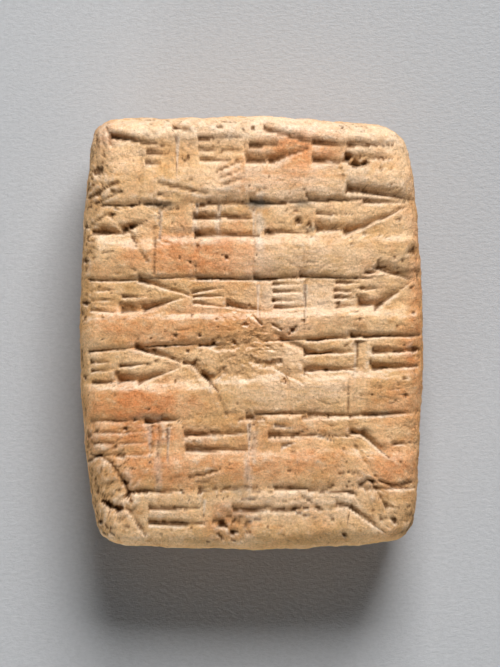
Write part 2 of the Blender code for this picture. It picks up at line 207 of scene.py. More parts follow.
# Places on the face are shares of the width and length from its top left corner.
# Broken and rubbed places: half size, how far they are sunk, the height of their grit, and the
# share of the strokes that is gone there
Rough = namedtuple("Rough", "across down size sunk grit worn")
ROUGH_PLACES = table(
    Rough,
    (0.483, 0.545, (2.8, 2.5), 0.14, 0.2, 0.9),
    (0.62, 0.595, (2.0, 1.3), 0.04, 0.08, 0.3),
    (0.075, 0.86, (2.4, 3.3), 0.25, 0.24, 0.9),
    (0.05, 0.92, (1.9, 2.6), 0.4, 0.26, 1.0),
    (0.445, 0.945, (1.7, 1.5), 0.35, 0.2, 0.9),
    (0.055, 0.115, (1.2, 2.6), 0.18, 0.2, 0.9),
    (0.045, 0.2, (0.9, 2.2), 0.12, 0.16, 0.7),
    (0.03, 0.3, (0.9, 1.6), 0.2, 0.2, 0.8),
    (0.03, 0.42, (0.9, 2.4), 0.05, 0.12, 0.5),
    (0.012, 0.17, (0.6, 1.3), 0.22, 0.2, 0.6),
    (0.01, 0.56, (0.5, 1.5), 0.25, 0.2, 0.5),
    (0.012, 0.66, (0.5, 1.1), 0.16, 0.16, 0.4),
    (0.02, 0.765, (0.7, 0.9), 0.28, 0.2, 0.4),
    (0.24, 0.012, (2.6, 0.5), 0.05, 0.14, 0.5),
    (0.78, 0.03, (2.0, 0.5), 0.1, 0.14, 0.4),
    (0.42, 0.028, (3.6, 0.7), 0.06, 0.1, 0.6),
    (0.3, 0.09, (1.7, 0.9), 0.02, 0.09, 0.5),
    (0.87, 0.885, (1.7, 1.2), 0.05, 0.14, 0.5),
    (0.645, 0.248, (1.1, 0.6), 0.12, 0.14, 0.3),
    (0.36, 0.595, (1.5, 0.9), 0.08, 0.12, 0.4),
    (0.97, 0.31, (0.5, 0.9), 0.15, 0.12, 0.3),
    (0.98, 0.54, (0.5, 0.8), 0.18, 0.12, 0.3),
    (0.95, 0.93, (1.2, 1.6), 0.1, 0.14, 0.7),
    (0.7, 0.97, (2.8, 0.8), 0.08, 0.1, 0.6),
    (0.012, 0.345, (0.5, 0.8), 0.2, 0.2, 0.4),
    (0.012, 0.455, (0.4, 0.9), 0.2, 0.2, 0.4),
    (0.8, 0.112, (1.1, 0.7), 0.2, 0.24, 0.5),
    (0.42, 0.07, (1.4, 0.8), 0.06, 0.16, 0.6),
    (0.4, 0.7, (2.6, 0.7), 0.0, 0.06, 0.85),
    (0.71, 0.53, (1.6, 0.5), 0.0, 0.08, 0.6),
)
# Holes: radius and depth
Hole = namedtuple("Hole", "across down radius depth")
HOLES = table(
    Hole,
    (0.483, 0.48, 0.26, 0.4), (0.391, 0.521, 0.32, 0.45), (0.451, 0.521, 0.26, 0.35),
    (0.351, 0.505, 0.22, 0.3), (0.618, 0.493, 0.26, 0.35), (0.598, 0.61, 0.32, 0.35),
    (0.092, 0.895, 0.36, 0.6), (0.118, 0.904, 0.36, 0.6), (0.065, 0.934, 0.28, 0.45),
    (0.141, 0.842, 0.3, 0.5), (0.144, 0.872, 0.26, 0.5), (0.417, 0.936, 0.4, 0.6),
    (0.445, 0.957, 0.32, 0.5), (0.156, 0.256, 0.24, 0.55), (0.138, 0.719, 0.22, 0.35),
    (0.945, 0.644, 0.22, 0.35), (0.77, 0.963, 0.34, 0.35), (0.913, 0.929, 0.28, 0.35),
    (0.876, 0.123, 0.22, 0.25), (0.778, 0.098, 0.34, 0.7), (0.801, 0.114, 0.4, 0.75),
    (0.824, 0.112, 0.3, 0.5), (0.102, 0.176, 0.24, 0.3), (0.06, 0.13, 0.6, 0.6),
    (0.099, 0.233, 0.3, 0.3), (0.865, 0.875, 0.26, 0.3), (0.889, 0.893, 0.28, 0.3),
    (0.635, 0.246, 0.34, 0.3), (0.667, 0.254, 0.3, 0.3), (0.963, 0.313, 0.4, 0.4),
    (0.971, 0.539, 0.36, 0.4), (0.022, 0.255, 0.34, 0.45), (0.02, 0.335, 0.3, 0.45),
    (0.022, 0.43, 0.34, 0.45), (0.02, 0.6, 0.3, 0.45), (0.028, 0.735, 0.36, 0.5),
)
# A hole is full depth inside the first share of its radius and ends at the second
HOLE_SLOPE = (0.2, 1.4)
HOLE_RAGGED = 0.5
HOLE_REACH = 3
SCATTERED_HOLES = 260
SCATTER_SEED = 17
SCATTER_SPAN = (0.02, 0.98)
SCATTERED_RADIUS = (0.10, 0.24)
SCATTERED_DEPTH = (0.4, 1.1)
# Short scratches all over: where they lie, how far they turn and bend, and their sizes
SCATTERED_TICKS = 150
TICK_SEED = 23
TICK_SPAN_ACROSS = (0.04, 0.96)
TICK_SPAN_DOWN = (0.03, 0.97)
TICK_TURN = 0.5
TICK_HALF_LENGTH = (0.25, 0.9)
TICK_BEND = (-0.25, 0.25)
TICK_HALF_WIDTH = 0.2
TICK_DEPTH = (0.05, 0.16)
# Cracks stray from their line, change in depth along it, and lie within a reach of their middle
CRACK_STRAY = 0.12
CRACK_MEAN = 0.7
CRACK_CHANGE = 0.5
CRACK_REACH = 5.0
# Cracks and scratches: places along each, half width and depth
Crack = namedtuple("Crack", "places half_width depth")
CRACKS = table(
    Crack,
    (
        ((0.03, 0.793), (0.066, 0.78), (0.101, 0.8), (0.13, 0.831), (0.147, 0.865), (0.153, 0.884)),
        0.3,
        0.55,
    ),
    (((0.076, 0.885), (0.1, 0.898), (0.125, 0.903)), 0.42, 0.75),
    (((0.05, 0.86), (0.08, 0.875), (0.11, 0.87)), 0.25, 0.2),
    (((0.155, 0.866), (0.185, 0.864)), 0.32, 0.55),
    (((0.081, 0.025), (0.089, 0.048), (0.095, 0.071)), 0.26, 0.35),
    (((0.035, 0.19), (0.078, 0.17), (0.115, 0.155)), 0.3, 0.4),
    (((0.055, 0.203), (0.125, 0.176)), 0.28, 0.32),
    (((0.052, 0.242), (0.081, 0.231), (0.11, 0.228)), 0.24, 0.18),
    (((0.325, 0.828), (0.37, 0.822), (0.41, 0.811)), 0.3, 0.34),
    (((0.236, 0.7), (0.232, 0.8), (0.232, 0.885)), 0.36, 0.2),
    (((0.513, 0.705), (0.5, 0.79), (0.483, 0.873)), 0.38, 0.24),
    (((0.497, 0.164), (0.523, 0.173), (0.549, 0.167)), 0.24, 0.16),
    (((0.072, 0.317), (0.087, 0.315), (0.101, 0.313)), 0.24, 0.2),
    (((0.405, 0.13), (0.46, 0.11)), 0.36, 0.26),
    (((0.409, 0.147), (0.464, 0.128)), 0.36, 0.26),
    (((0.414, 0.163), (0.468, 0.146)), 0.36, 0.28),
    (((0.235, 0.157), (0.37, 0.182)), 0.42, 0.34),
    (((0.25, 0.178), (0.38, 0.198)), 0.36, 0.22),
    (((0.815, 0.847), (0.835, 0.836), (0.852, 0.84)), 0.36, 0.6),
    (((0.87, 0.838), (0.905, 0.85), (0.962, 0.842)), 0.3, 0.35),
    (((0.85, 0.845), (0.872, 0.875), (0.886, 0.9)), 0.24, 0.25),
    (((0.768, 0.862), (0.8, 0.87)), 0.5, 0.45),
    (((0.772, 0.106), (0.8, 0.119), (0.835, 0.111)), 0.42, 0.8),
    (((0.574, 0.503), (0.6, 0.52), (0.651, 0.537)), 0.55, 0.42),
    (((0.503, 0.565), (0.545, 0.573), (0.586, 0.566)), 0.5, 0.42),
    (((0.36, 0.6), (0.395, 0.606), (0.42, 0.585)), 0.5, 0.4),
    (((0.375, 0.525), (0.41, 0.54), (0.455, 0.53)), 0.5, 0.34),
    (((0.563, 0.481), (0.587, 0.493)), 0.25, 0.4),
    (((0.61, 0.503), (0.629, 0.486)), 0.26, 0.4),
    (((0.505, 0.462), (0.53, 0.48)), 0.25, 0.35),
    (((0.6, 0.845), (0.735, 0.925)), 0.34, 0.2),
    (((0.58, 0.925), (0.735, 0.85)), 0.34, 0.2),
    (((0.5, 0.905), (0.6, 0.885)), 0.34, 0.18),
    (((0.185, 0.09), (0.18, 0.2)), 0.38, 0.22),
    (((0.475, 0.115), (0.475, 0.2)), 0.38, 0.2),
    (((0.763, 0.125), (0.765, 0.17)), 0.38, 0.2),
    (((0.15, 0.27), (0.2, 0.335)), 0.36, 0.34),
    (((0.225, 0.26), (0.22, 0.365)), 0.38, 0.27),
    (((0.347, 0.275), (0.34, 0.37)), 0.4, 0.27),
    (((0.503, 0.27), (0.503, 0.37)), 0.4, 0.27),
    (((0.66, 0.27), (0.655, 0.36)), 0.38, 0.2),
    (((0.36, 0.44), (0.355, 0.485)), 0.38, 0.2),
    (((0.8, 0.43), (0.81, 0.51)), 0.38, 0.18),
    (((0.62, 0.77), (0.63, 0.845)), 0.38, 0.18),
    (((0.8, 0.76), (0.86, 0.83)), 0.38, 0.24),
    (((0.37, 0.6), (0.41, 0.65), (0.43, 0.69)), 0.38, 0.24),
    (((0.6, 0.6), (0.615, 0.69)), 0.38, 0.2),
    (((0.78, 0.6), (0.78, 0.68)), 0.38, 0.2),
)


def smoothstep(low, high, value):
    share = np.clip((value - low) / (high - low), 0.0, 1.0)
    return share * share * (3.0 - 2.0 * share)


def mix(a, b, share):
    return a + (b - a) * share


def smooth_max(a, b, blend):
    """The larger of two fields, with the crease between them rounded."""
    near = np.maximum(blend - np.abs(a - b), 0.0) / blend
    return np.maximum(a, b) + near * near * blend / 4.0


def outline_point(across, up):
    """Where points of the square from -1 to 1 lie on the tablet, seen from above."""
    right_share = (across + 1.0) / 2.0
    top_share = (up + 1.0) / 2.0
    top_left, top_right = CORNER_INSETS["top_left"], CORNER_INSETS["top_right"]
    bottom_left, bottom_right = CORNER_INSETS["bottom_left"], CORNER_INSETS["bottom_right"]
    side_bow = np.abs(up) ** SIDE_BOW
    end_bow = np.abs(across) ** SIDE_BOW
    left = -WIDTH / 2 + side_bow * mix(bottom_left[0], top_left[0], top_share)
    right = WIDTH / 2 - side_bow * mix(bottom_right[0], top_right[0], top_share)
    top = LENGTH / 2 - end_bow * mix(top_left[1], top_right[1], right_share)
    bottom = -LENGTH / 2 + end_bow * mix(bottom_left[1], bottom_right[1], right_share)
    return mix(left, right, right_share), mix(bottom, top, top_share)


def rounding(across, up):
    reach = np.maximum(np.maximum(np.abs(across), np.abs(up)), 1e-9)
    power = np.abs(across / reach) ** CORNER_POWER + np.abs(up / reach) ** CORNER_POWER
    return np.maximum(power, 1.0) ** (-1.0 / CORNER_POWER)


def front_height(reach):
    rise = THICKNESS - EDGE_HEIGHT
    return EDGE_HEIGHT + rise * np.maximum(1.0 - reach**FRONT_POWER, 0.0) ** (1.0 / FRONT_POWER)


def back_height(reach):
    end = math.asin(REST_SHARE ** (BACK_POWER / 2))
    drop = EDGE_HEIGHT / math.cos(end) ** (2 / BACK_POWER)
    height = EDGE_HEIGHT - drop * np.maximum(1.0 - reach**BACK_POWER, 0.0) ** (1.0 / BACK_POWER)
    return np.maximum(height, 0.0)


# Noise
NOISE_TABLE = 256
NOISE_GAIN = 1.6


def noise(points, cell, seed):
    """Smooth noise from about -1 to 1 with features the size of a cell."""
    rng = np.random.default_rng(seed)
    order = rng.permutation(NOISE_TABLE)
    gradients = rng.normal(size=(NOISE_TABLE, 3))
    last = NOISE_TABLE - 1
    gradients /= np.linalg.norm(gradients, axis=1, keepdims=True)
    scaled = points / cell
    base = np.floor(scaled).astype(int)
    part = scaled - base
    fade = part**3 * (part * (part * 6.0 - 15.0) + 10.0)
    total = np.zeros(len(points))
    for corner in itertools.product((0, 1), repeat=3):
        at = (base + corner) & last
        index = order[(order[(order[at[:, 0]] + at[:, 1]) & last] + at[:, 2]) & last]
        weight = np.prod(np.where(np.array(corner) == 1, fade, 1.0 - fade), axis=1)
        total += weight * np.einsum("ij,ij->i", part - corner, gradients[index])
    return total * NOISE_GAIN


def rough(points, texture):
    """Noise with finer and weaker noise added to it."""
    total = np.zeros(len(points))
    for octave in range(texture.octaves):
        total += noise(points, texture.cell / 2.0**octave, texture.seed + octave) / 2.0**octave
    return texture.amount * total


def torn(points, texture):
    """Noise with sharp creases, like torn clay: it is deepest along them."""
    total = np.zeros(len(points))
    for octave in range(texture.octaves):
        sharp = TORN_MEAN - np.abs(noise(points, texture.cell / 2.0**octave, texture.seed + octave))
        total += sharp / TORN_FADE**octave
    return texture.amount * total


# The layout of the strokes, as in the solid


def line_height(row, x):
    return LENGTH / 2 - row.line * LENGTH + row.rise * x


class Cell:
    """The box under a ruled line that one group of strokes fills: places in it are shares."""

    def __init__(self, row, left, width, hand):
        self.row = row
        self.left = left
        self.width = width
        self.hand = hand

    def place(self, across, down):
        x = self.left + across * self.width
        return Vector((x, line_height(self.row, x) - down * ZONE_HEIGHT))

    def stroke(self, style, head, tail):
        missed = Vector((self.hand.uniform(-WOBBLE, WOBBLE), self.hand.uniform(-WOBBLE, WOBBLE)))
        end_missed = self.hand.uniform(-WOBBLE, WOBBLE)
        press = self.row.press * self.hand.uniform(*PRESSURE)
        pressed = style._replace(depth=style.depth * press)
        tail_place = self.place(*tail) + missed + Vector((0.0, end_missed))
        return Stroke(self.place(*head) + missed, tail_place, pressed)


def rule(cell):
    """The line ruled over a row, pressed part by part."""
    strokes = []
    for i in range(RULE_PARTS):
        start = i / RULE_PARTS
        down = cell.hand.uniform(-RULE_STRAY, RULE_STRAY)
        strokes.append(cell.stroke(RULE, (start, down), (start + RULE_STEP, down)))
    return strokes


def levels(cell, count, style):
    """Level strokes one under the other, with their tails run under the next group."""
    downs = [0.98 * (i + 1) / count for i in range(count)]
    return [cell.stroke(style, (0.03, down), (1.06, down)) for down in downs]


def bars(cell):
    return levels(cell, 2, BAR)


def stack(cell):
    return levels(cell, 3, NARROW)


def comb(cell):
    return levels(cell, 4, NARROW)


def post(cell, count=1, drop=POST_DROP):
    """Uprights side by side, each with its head on the ruled line, a thin tail and a broad face."""
    strokes = []
    head = HEAD_LENGTH / cell.width
    face = Style(FACE_SHARE * cell.width / count, LINE.right, FACE_DEPTH, 1.0)
    for i in range(count):
        across = (i + UPRIGHT_PLACE) / count
        head_start = across - HEAD_LEAD * head
        strokes.append(cell.stroke(HEAD, (head_start, 0.0), (head_start + head, 0.02)))
        strokes.append(cell.stroke(face, (across, 0.05), (across, FACE_DROP)))
        strokes.append(cell.stroke(LINE, (across, 0.2), (across, drop)))
    return strokes


def posts(cell):
    return post(cell, 2)


def peg(cell):
    return post(cell, 1, PEG_DROP)


def brick(cell):
    """Two level strokes crossed by two short uprights."""
    uprights = [cell.stroke(LINE, (across, 0.02), (across, 1.15)) for across in (0.08, 0.45)]
    return bars(cell) + uprights


def shelf(cell):
    """An upright under one long stroke that is steep on its upper side."""
    return post(cell) + [cell.stroke(SCORE, (0.08, -0.38), (1.5, 0.0))]


MADE_GROUPS = {make.__name__: make for make in (bars, stack, comb, post, posts, peg, brick, shelf)}
# Groups that are pressed as listed: each stroke's kind, and its head and tail as shares of the cell
LISTED_GROUPS = {
    "bar": (
        (BAR, (0.03, 0.9), (1.06, 1.02)),
    ),
    # Strokes that run together at the right, half way down
    "arrow": (
        (BAR, (0.30, 0.02), (1.0, 0.5)),
        (NARROW, (0.08, 0.55), (0.5, 0.53)),
        (WIDE, (0.04, 1.02), (0.5, 0.96)),
        (SLANT, (0.36, 1.04), (1.04, 0.56)),
    ),
    # Strokes that run together at the right, at the ruled line
    "barb": (
        (WIDE, (0.32, -0.28), (0.98, 0.07)),
        (NARROW, (0.05, 0.42), (0.4, 0.4)),
        (WIDE, (0.03, 0.94), (0.42, 0.92)),
        (SLANT, (0.3, 1.08), (1.03, 0.06)),
    ),
    # Short strokes that spread from one place
    "fan": tuple((NARROW, (0.05, 0.35 + 0.5 * end), (1.0, end)) for end in (0.3, 0.62, 0.95)),
    # A deep level stroke under a shallow one, and thin ones that lean against it
    "cross": (
        (NARROW, (0.42, 0.0), (1.02, 0.0)),
        (BAR, (0.02, 0.6), (1.02, 0.58)),
        (LINE, (0.1, 0.26), (0.6, 0.44)),
        (LINE, (0.18, 0.98), (0.55, 0.66)),
        (LINE, (0.62, 0.64), (0.96, 0.94)),
    ),
    # A broad short stroke, and one that falls from it to the right
    "hook": (
        (HEAD, (0.0, 0.48), (0.42, 0.56)),
        (BAR, (0.26, 0.54), (1.0, 1.4)),
    ),
    # A long stroke that falls to the right from a short one
    "slope": (
        (HEAD, (0.0, 0.7), (0.4, 0.74)),
        (BAR, (0.3, 0.74), (1.0, 1.35)),
    ),
    # One long stroke that falls a little to the right, over two short ones
    "slant": (
        (DEEP, (0.22, 0.26), (1.0, 0.6)),
        (NARROW, (0.7, 0.78), (0.98, 0.76)),
        (NARROW, (0.68, 1.1), (0.86, 1.1)),
    ),
    # One broad stroke that turns up to the right
    "wedge": (
        (WIDE, (0.04, 0.86), (0.62, 0.84)),
        (SLANT, (0.5, 0.88), (0.98, 0.42)),
    ),
    # A bare place over one shallow level stroke
    "ledge": (
        (NARROW, (0.0, 0.92), (1.02, 0.9)),
    ),
    "blank": (),
}


def group(name, cell):
    if name in MADE_GROUPS:
        return MADE_GROUPS[name](cell)
    return [cell.stroke(*listed) for listed in LISTED_GROUPS[name]]


def all_strokes():
    """Every stroke of the front: a ruled line for each row but the first, and its groups from left to
    right.
    """
    hand = random.Random(HAND_SEED)
    strokes = []
    row_width = ROW_REACH * WIDTH
    row_left = (ROW_LEFT - 0.5) * WIDTH
    for row in ROWS:
        whole = Cell(row, row_left, row_width, hand)
        if row is not ROWS[0]:
            strokes += rule(whole)
        groups = [entry.split() for entry in row.groups.split(",")]
        total = sum(float(share) for _, share in groups)
        left = row_left
        for name, share in groups:
            width = row_width * float(share) / total
            strokes += group(name, Cell(row, left, width, hand))
            left += width
    return strokes


# Depth under the tops of the swellings, for points on the front


def ground_depth(x, y, fall_height, softness):
    """Depth of the recessed zones under the ruled lines: 0 on the tops of the swellings."""
    depth = np.zeros(len(x))
    rise_start, rise_end = SWELLING_RISE
    rows = zip(ROWS, ROWS[1:] + (None,), GROUND_SHARES, FALL_SHARES)
    for row, after, ground_share, fall_share in rows:
        below = line_height(row, x) - y
        pitch = line_height(row, x) - line_height(after, x) if after else LENGTH / 2
        first_row = SOFT_FIRST_ROW if row is ROWS[0] else 0.0
        middle, half = (rise_start + rise_end) / 2, (rise_end - rise_start) / 2
        half_width = half * (softness + first_row)
        start = (middle - half_width) * ZONE_HEIGHT
        end = (middle + half_width) * ZONE_HEIGHT
        rise = smoothstep(start, end, below)
        fall = np.maximum(1.0 - (pitch - below) / (fall_share * fall_height), 0.0)
        here = (below >= 0.0) & (below < pitch)
        if row is ROWS[0]:
            ground_share = ground_share * smoothstep(0.0, FIRST_ROW_TOP, below)
        fallen = ground_share * (1.0 - rise) + rise * fall * fall
        depth = np.where(here, ZONE_DEPTH * fallen, depth)
    return depth


def stroke_depth(stroke, x, y):
    """How deep a stroke's faces are below its ground: 0 at its rim and negative outside.

    The face on the left of the stroke rolls down into it, and the one on the right is steep. The
    broad face of an upright is flat.
    """
    head, tail, style = stroke
    along = (tail - head).normalized()
    leftward = Vector((-along.y, along.x))
    far = tail + (tail - head) * style.run_on
    left, right = head + leftward * style.left, head - leftward * style.right
    deepest = head + along * style.depth * HEAD_SLOPE

    def share(start, end):
        """0 on a side of the stroke's outline and 1 at its deepest point."""
        edge = end - start
        normal = Vector((-edge.y, edge.x))
        whole = (deepest - start).dot(normal)
        return ((x - start.x) * normal.x + (y - start.y) * normal.y) / whole

    blunt_end = share(left, right)
    steep = share(right, far)
    gentle = share(far, left)
    if along.y > UPRIGHT:
        gentle = np.where(gentle > 0.0, np.abs(gentle) ** ROLL_POWER, gentle)
    beyond = (x - tail.x) * along.x + (y - tail.y) * along.y
    tail_end = (TAIL_END - beyond) / (2 * TAIL_END)
    depth = np.minimum(np.minimum(blunt_end, steep), gentle)
    return style.depth * np.minimum(depth, tail_end * 2.0)


def carved_depth(x, y):
    """The mean of nine near samples, so that slanting edges aren't stepped."""
    shifts = list(itertools.product((-SAMPLE_SHIFT, 0.0, SAMPLE_SHIFT), repeat=2))
    return sum(sharp_depth(x + shift_x, y + shift_y) for shift_x, shift_y in shifts) / len(shifts)


def sharp_depth(x, y):
    """Depth of the ground and the strokes, with every edge as it was pressed."""
    cut = np.zeros(len(x))
    for stroke in all_strokes():
        cut = smooth_max(cut, stroke_depth(stroke, x, y), RIM_BLEND)
    points = np.stack((x, y, np.zeros(len(x))), axis=1)
    softness = 1.0 + rough(points, RISE_CHANGE)
    fall_height = SWELLING_FALL * ZONE_HEIGHT * (FALL_MEAN + rough(points, FALL_CHANGE))
    ground = ground_depth(x, y + rough(points, ROW_DRIFT), fall_height, softness)
    return ground * (1.0 + rough(points, GROUND_CHANGE)) + cut


def across_of(points):
    return points[:, 0] / WIDTH + 0.5


def down_of(points):
    return 0.5 - points[:, 1] / LENGTH


def face_place(across, down):
    """A place on the face in millimetres from its centre."""
    return (across - 0.5) * WIDTH, (0.5 - down) * LENGTH


def patch(points, ragged, across, down, size, softness=0.5):
    """1 inside an ellipse with a ragged edge, and 0 outside."""
    x = (across_of(points) - across) * WIDTH / size[0]
    y = (down_of(points) - down) * LENGTH / size[1]
    return 1.0 - smoothstep(1.0 - softness, 1.0 + softness, np.hypot(x, y) + ragged)


def hole_depth(points, ragged, hole):
    x = (across_of(points) - hole.across) * WIDTH / hole.radius
    y = (down_of(points) - hole.down) * LENGTH / hole.radius
    away = np.hypot(x, y) + HOLE_RAGGED * ragged
    return hole.depth * (1.0 - smoothstep(*HOLE_SLOPE, away))


def scattered_holes():
    rng = random.Random(SCATTER_SEED)
    holes = []
    for _ in range(SCATTERED_HOLES):
        radius = rng.uniform(*SCATTERED_RADIUS)
        across, down = rng.uniform(*SCATTER_SPAN), rng.uniform(*SCATTER_SPAN)
        holes.append(Hole(across, down, radius, radius * rng.uniform(*SCATTERED_DEPTH)))
    return holes


def scattered_ticks():
    """Short scratches and folds, mostly level."""
    rng = random.Random(TICK_SEED)
    ticks = []
    for _ in range(SCATTERED_TICKS):
        across, down = rng.uniform(*TICK_SPAN_ACROSS), rng.uniform(*TICK_SPAN_DOWN)
        angle = rng.gauss(0.0, TICK_TURN)
        half = rng.uniform(*TICK_HALF_LENGTH)
        bend = rng.uniform(*TICK_BEND) * half
        run = (half * math.cos(angle) / WIDTH, half * math.sin(angle) / LENGTH)
        start = (across - run[0], down - run[1])
        middle = (across, down + bend / LENGTH)
        end = (across + run[0], down + run[1])
        ticks.append(Crack((start, middle, end), TICK_HALF_WIDTH, rng.uniform(*TICK_DEPTH)))
    return ticks


def crack_depth(points, ragged, crack):
    places = [np.array(face_place(across, down)) for across, down in crack.places]
    nearest = np.full(len(points), np.inf)
    flat = points[:, :2] + CRACK_STRAY * np.stack((ragged, -ragged), axis=1)
    for start, end in zip(places, places[1:]):
        edge = end - start
        share = np.clip(((flat - start) @ edge) / (edge @ edge), 0.0, 1.0)
        nearest = np.minimum(nearest, np.linalg.norm(flat - start - share[:, None] * edge, axis=1))
    fresh = 1.0 - smoothstep(0.0, crack.half_width, nearest)
    return crack.depth * fresh * (CRACK_MEAN + CRACK_CHANGE * np.clip(ragged, -1.0, 1.0))


def near(points, across, down, reach):
    """Which points are near a place, so that only they are worked out."""
    x, y = face_place(across, down)
    return (np.abs(points[:, 0] - x) < reach) & (np.abs(points[:, 1] - y) < reach)


# The mesh


def grid_square(columns, rows):
    across, up = np.meshgrid(np.linspace(-1, 1, columns + 1), np.linspace(-1, 1, rows + 1))
    return across.ravel(), up.ravel()


def grid_faces(columns, rows, start, flip=False):
    lower = (np.arange(rows)[:, None] * (columns + 1) + np.arange(columns)[None, :]).ravel()
    corners = (lower, lower + 1, lower + columns + 2, lower + columns + 1)
    faces = np.stack(corners[::-1] if flip else corners, axis=1)
    return faces + start


def grid_edge(columns, rows):
    """The grid's edge vertices in order, anticlockwise from the lower left corner."""
    width = columns + 1
    bottom = np.arange(columns)
    right = np.arange(rows) * width + columns
    top = rows * width + columns - np.arange(columns)
    left = (rows - np.arange(rows)) * width
    return np.concatenate((bottom, right, top, left))


def place(across, up, reach, height):
    share = rounding(across, up) * reach
    x, y = outline_point(across * share, up * share)
    return np.stack((x, y, np.broadcast_to(height, x.shape)), axis=1)


def ring_steps():
    """(reach, height, spacing) of each ring from the front's grid to the back's."""
    steps = []
    quarter_turn = math.pi / 2
    start = math.asin(GRID_REACH ** (FRONT_POWER / 2))
    for i in range(1, FINE_RINGS + 1):
        reach = math.sin(mix(start, quarter_turn, i / FINE_RINGS)) ** (2 / FRONT_POWER)
        steps.append((reach, float(front_height(np.float64(reach))), 1))
    end = math.asin(GRID_REACH ** (BACK_POWER / 2))
    count = HALF_RINGS + QUARTER_RINGS
    for i in range(1, count + 1):
        reach = math.sin(mix(quarter_turn, end, i / count)) ** (2 / BACK_POWER)
        steps.append((reach, float(back_height(np.float64(reach))), 2 if i <= HALF_RINGS else 4))
    return steps


def ring_faces(upper, lower):
    """Faces between two loops, where the lower one has as many vertices or half as many."""
    after = np.roll(lower, -1)
    if len(upper) == len(lower):
        return np.stack((upper, lower, after, np.roll(upper, -1)), axis=1).tolist()
    even, odd, next_even = upper[0::2], upper[1::2], np.roll(upper[0::2], -1)
    faces = [np.stack(corners, axis=1) for corners in (
        (even, lower, odd),
        (odd, lower, after),
        (odd, after, next_even),
    )]
    return np.concatenate(faces).tolist()


def plain_tablet():
    """Vertices and faces before any relief."""
    across, up = grid_square(COLUMNS, ROWS_OF_FACES)
    reach = np.maximum(np.abs(across), np.abs(up)) * GRID_REACH
    points = [place(across, up, reach, front_height(reach))]
    faces = grid_faces(COLUMNS, ROWS_OF_FACES, 0).tolist()
    loop = grid_edge(COLUMNS, ROWS_OF_FACES)
    edge_across, edge_up = across[loop], up[loop]
    total = len(across)
    spacing = 1
    for ring_reach, height, ring_spacing in ring_steps():
        ratio = ring_spacing // spacing
        spacing = ring_spacing
        edge_across, edge_up = edge_across[::ratio], edge_up[::ratio]
        points.append(place(edge_across, edge_up, ring_reach, height))
        new_loop = np.arange(len(edge_across)) + total
        faces += ring_faces(loop, new_loop)
        loop = new_loop
        total += len(edge_across)
    columns, rows = COLUMNS // spacing, ROWS_OF_FACES // spacing
    across, up = grid_square(columns, rows)
    edge = grid_edge(columns, rows)
    inner = np.setdiff1d(np.arange(len(across)), edge)
    index = np.empty(len(across), dtype=int)
    index[edge] = loop
    index[inner] = np.arange(len(inner)) + total
    reach = np.maximum(np.abs(across), np.abs(up)) * GRID_REACH
    points.append(place(across, up, reach, back_height(reach))[inner])
    faces += index[grid_faces(columns, rows, 0, flip=True)].tolist()
    return np.concatenate(points), faces


def mesh_from(name, points, faces):
    mesh = bpy.data.meshes.new(name)
    mesh.from_pydata(points.tolist(), [], faces)
    mesh.update()
    return mesh


def add_object(name, data):
    added = bpy.data.objects.new(name, data)
    bpy.context.scene.collection.objects.link(added)
    return added


def point_normals(mesh):
    normals = np.empty(len(mesh.vertices) * 3)
    mesh.vertex_normals.foreach_get("vector", normals)
    return normals.reshape(-1, 3)


def mesh_edges(mesh):
    edges = np.empty(len(mesh.edges) * 2, dtype=int)
    mesh.edges.foreach_get("vertices", edges)
    return edges.reshape(-1, 2)


def blurred(values, edges, passes):
    """Each vertex's value averaged with its neighbours', pass after pass."""
    first, second = edges[:, 0], edges[:, 1]
    count = 1.0 + np.bincount(edges.ravel(), minlength=len(values))
    for _ in range(passes):
        total = np.bincount(first, values[second], len(values))
        total += np.bincount(second, values[first], len(values))
        values = (values + total) / count
    return values


def front_relief(points):
    """Depth of everything on the front, and the share of broken clay."""
    warp = [rough(points, small) + rough(points, large) for small, large in WARPS]
    ragged = rough(points, RAGGED)
    grit = torn(points, GRIT) + rough(points, FINE_GRIT)
    depth = carved_depth(points[:, 0] + warp[0], points[:, 1] + warp[1])
    broken = np.zeros(len(points))
    for spot in ROUGH_PLACES:
        here = patch(points, ragged, spot.across, spot.down, spot.size)
        worn_down = np.minimum(depth, ZONE_DEPTH * WORN_GROUND)
        depth = mix(depth, worn_down, here * spot.worn)
        depth += here * (spot.sunk + spot.grit * grit)
        broken = np.maximum(broken, here)
    hole_edge = rough(points, HOLE_EDGE)
    for hole in itertools.chain(HOLES, scattered_holes()):
        at = near(points, hole.across, hole.down, HOLE_REACH * hole.radius)
        depth[at] += hole_depth(points[at], hole_edge[at], hole)
    for crack in itertools.chain(CRACKS, scattered_ticks()):
        middle = np.mean(crack.places, axis=0)
        at = near(points, middle[0], middle[1], CRACK_REACH)
        depth[at] += crack_depth(points[at], ragged[at], crack)
    return depth, broken


def residue_in_lines(points):
    """1 where pale dust has stayed in the thin strokes, and 0 elsewhere."""
    kept = np.zeros(len(points))
    for stroke in all_strokes():
        if stroke.style.left == LINE.left:
            kept = np.maximum(kept, stroke_depth(stroke, points[:, 0], points[:, 1]))
    return smoothstep(*RESIDUE_DEPTHS, kept)


def hand_relief(points):
    """Depth of the uneven hand-made surface, all over the tablet."""
    depth = WAVE_DEPTH * (WAVE_MEAN + rough(points, WAVES)) + rough(points, FINE_WAVES)
    crumbled = smoothstep(*CRUMBLED_RANGE, rough(points, CRUMBLED))
    depth += CRUMB_DEPTH * crumbled * torn(points, CRUMBS)
    flakes = rough(points * np.array(FLAKE_STRETCH), FLAKES)
    missing = MISSING_DEPTH * smoothstep(*MISSING_FLAKES, flakes)
    depth += missing - RAISED_HEIGHT * smoothstep(*RAISED_FLAKES, -flakes)
    depth += rough(points * np.array(FOLD_STRETCH), FOLDS)
    return depth


